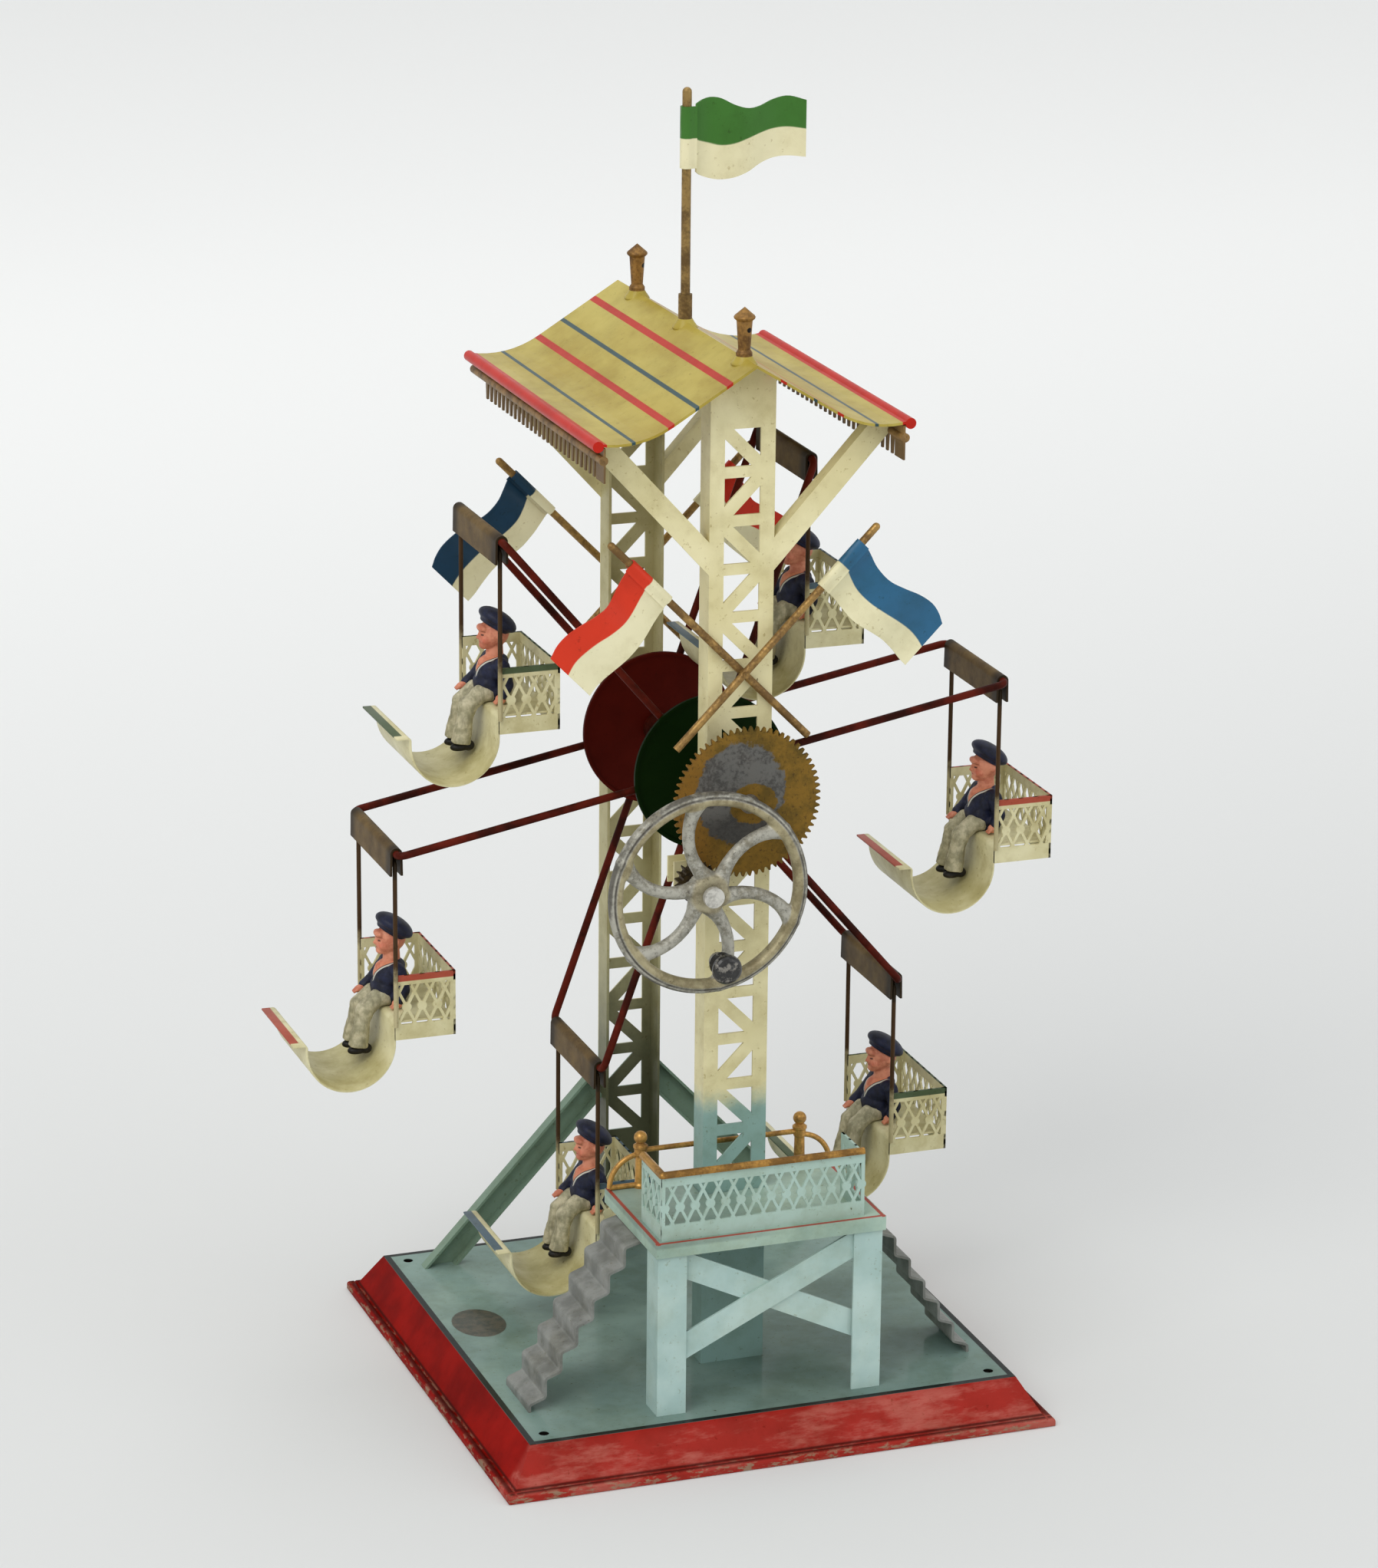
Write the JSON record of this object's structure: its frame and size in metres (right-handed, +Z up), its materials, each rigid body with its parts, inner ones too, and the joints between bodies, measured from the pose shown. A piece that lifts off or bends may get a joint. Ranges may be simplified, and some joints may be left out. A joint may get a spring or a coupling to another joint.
{
  "type": "toy swing ride",
  "caption": "Hand-cranked tinplate fairground wheel with hanging gondolas, seated figures, lattice towers, gabled roof, railed platform and stairs.",
  "frame": {"origin": "middle of the base's underside, on the plane that its rim rests on", "axes": "+Z up through the base, +Y from the platform and crank to the rear tower, along the wheel's axle, +X to the right seen from the platform"},
  "size_m": [0.252, 0.176, 0.4102],
  "materials": {
    "base_tin": "lithographed tinplate, worn",
    "cream_tin": "painted tinplate, aged",
    "strut_tin": "painted tinplate, aged",
    "roof_tin": "lithographed tinplate, aged",
    "fringe_tin": "bronzed tinplate",
    "bronze": "dark patina",
    "brass_wire": "aged",
    "green_flag": "painted tinplate, worn",
    "red_blue_flags": "painted tinplate, worn",
    "platform_tin": "painted tinplate, aged",
    "stair_tin": "painted tinplate, worn",
    "dark_steel": "aged",
    "aged_brass": "tarnished",
    "hub_red": "gloss paint, worn",
    "arm_red": "gloss paint, worn",
    "cast_silver": "silver paint, worn",
    "black_wood": "black paint, worn",
    "hanger_tan": "painted tinplate and wire, aged",
    "gondola_tin": "painted tinplate, aged",
    "figure_paint": "hand-painted cast metal"
  },
  "bodies": {
    "stand": {"base_shell": "base_tin", "front_tower": "cream_tin", "rear_tower": "cream_tin", "tower_struts": "strut_tin", "roof_panel": "roof_tin", "eave_fringes": "fringe_tin", "eave_braces": "cream_tin", "roof_lanterns": "bronze", "flag_socket": "brass_wire", "flagpole": "brass_wire", "top_flag": "green_flag", "crossed_poles": "brass_wire", "crossed_flags": "red_blue_flags", "platform_deck": "platform_tin", "platform_legs": "platform_tin", "leg_braces": "platform_tin", "platform_railing": "platform_tin", "railing_cap": "bronze", "brass_handrail": "brass_wire", "platform_stairs": "stair_tin", "crank_bracket": "cream_tin", "axle_bushes": "aged_brass"},
    "wheel": {"wheel_axle": "dark_steel", "axle_collars": "hub_red", "hub_discs": "hub_red", "drive_gear": "aged_brass", "wheel_arm_1": "arm_red", "wheel_arm_2": "arm_red", "wheel_arm_3": "arm_red", "wheel_arm_4": "arm_red", "wheel_arm_5": "arm_red", "wheel_arm_6": "arm_red"},
    "crank": {"handwheel": "cast_silver", "crank_shaft": "dark_steel", "crank_pinion": "aged_brass"},
    "knob": {"crank_knob": "black_wood"},
    "gondola_1": {"gondola_1_hanger": "hanger_tan", "gondola_1_seat": "gondola_tin", "gondola_1_guard": "gondola_tin", "gondola_1_figure": "figure_paint"},
    "gondola_2": {"gondola_2_hanger": "hanger_tan", "gondola_2_seat": "gondola_tin", "gondola_2_guard": "gondola_tin", "gondola_2_figure": "figure_paint"},
    "gondola_3": {"gondola_3_hanger": "hanger_tan", "gondola_3_seat": "gondola_tin", "gondola_3_guard": "gondola_tin", "gondola_3_figure": "figure_paint"},
    "gondola_4": {"gondola_4_hanger": "hanger_tan", "gondola_4_seat": "gondola_tin", "gondola_4_guard": "gondola_tin", "gondola_4_figure": "figure_paint"},
    "gondola_5": {"gondola_5_hanger": "hanger_tan", "gondola_5_seat": "gondola_tin", "gondola_5_guard": "gondola_tin", "gondola_5_figure": "figure_paint"},
    "gondola_6": {"gondola_6_hanger": "hanger_tan", "gondola_6_seat": "gondola_tin", "gondola_6_guard": "gondola_tin", "gondola_6_figure": "figure_paint"}
  },
  "joints": [
    {"name": "wheel_turn", "type": "hinge", "parent": "stand", "child": "wheel", "pos_m": [0, 0.0146, 0.2015], "axis": [0, 1, 0], "continuous": true},
    {"name": "crank_turn", "type": "hinge", "parent": "stand", "child": "crank", "pos_m": [-0.0163, -0.0561, 0.17763], "axis": [0, 1, 0], "continuous": true},
    {"name": "knob_spin", "type": "hinge", "parent": "crank", "child": "knob", "pos_m": [-0.01343, -0.0635, 0.15582], "axis": [0, 1, 0], "continuous": true},
    {"name": "gondola_1_swing", "type": "hinge", "parent": "wheel", "child": "gondola_1", "pos_m": [0.0999, 0.0146, 0.22001], "axis": [0, 1, 0], "continuous": true},
    {"name": "gondola_2_swing", "type": "hinge", "parent": "wheel", "child": "gondola_2", "pos_m": [0.03392, 0.0146, 0.29727], "axis": [0, 1, 0], "continuous": true},
    {"name": "gondola_3_swing", "type": "hinge", "parent": "wheel", "child": "gondola_3", "pos_m": [-0.06598, 0.0146, 0.27876], "axis": [0, 1, 0], "continuous": true},
    {"name": "gondola_4_swing", "type": "hinge", "parent": "wheel", "child": "gondola_4", "pos_m": [-0.0999, 0.0146, 0.18299], "axis": [0, 1, 0], "continuous": true},
    {"name": "gondola_5_swing", "type": "hinge", "parent": "wheel", "child": "gondola_5", "pos_m": [-0.03392, 0.0146, 0.10573], "axis": [0, 1, 0], "continuous": true},
    {"name": "gondola_6_swing", "type": "hinge", "parent": "wheel", "child": "gondola_6", "pos_m": [0.06598, 0.0146, 0.12424], "axis": [0, 1, 0], "continuous": true}
  ],
  "couplings": [
    {"joint": "crank_turn", "follows": "wheel_turn", "ratio": -4},
    {"joint": "gondola_1_swing", "follows": "wheel_turn", "ratio": -1},
    {"joint": "gondola_2_swing", "follows": "wheel_turn", "ratio": -1},
    {"joint": "gondola_3_swing", "follows": "wheel_turn", "ratio": -1},
    {"joint": "gondola_4_swing", "follows": "wheel_turn", "ratio": -1},
    {"joint": "gondola_5_swing", "follows": "wheel_turn", "ratio": -1},
    {"joint": "gondola_6_swing", "follows": "wheel_turn", "ratio": -1}
  ]
}
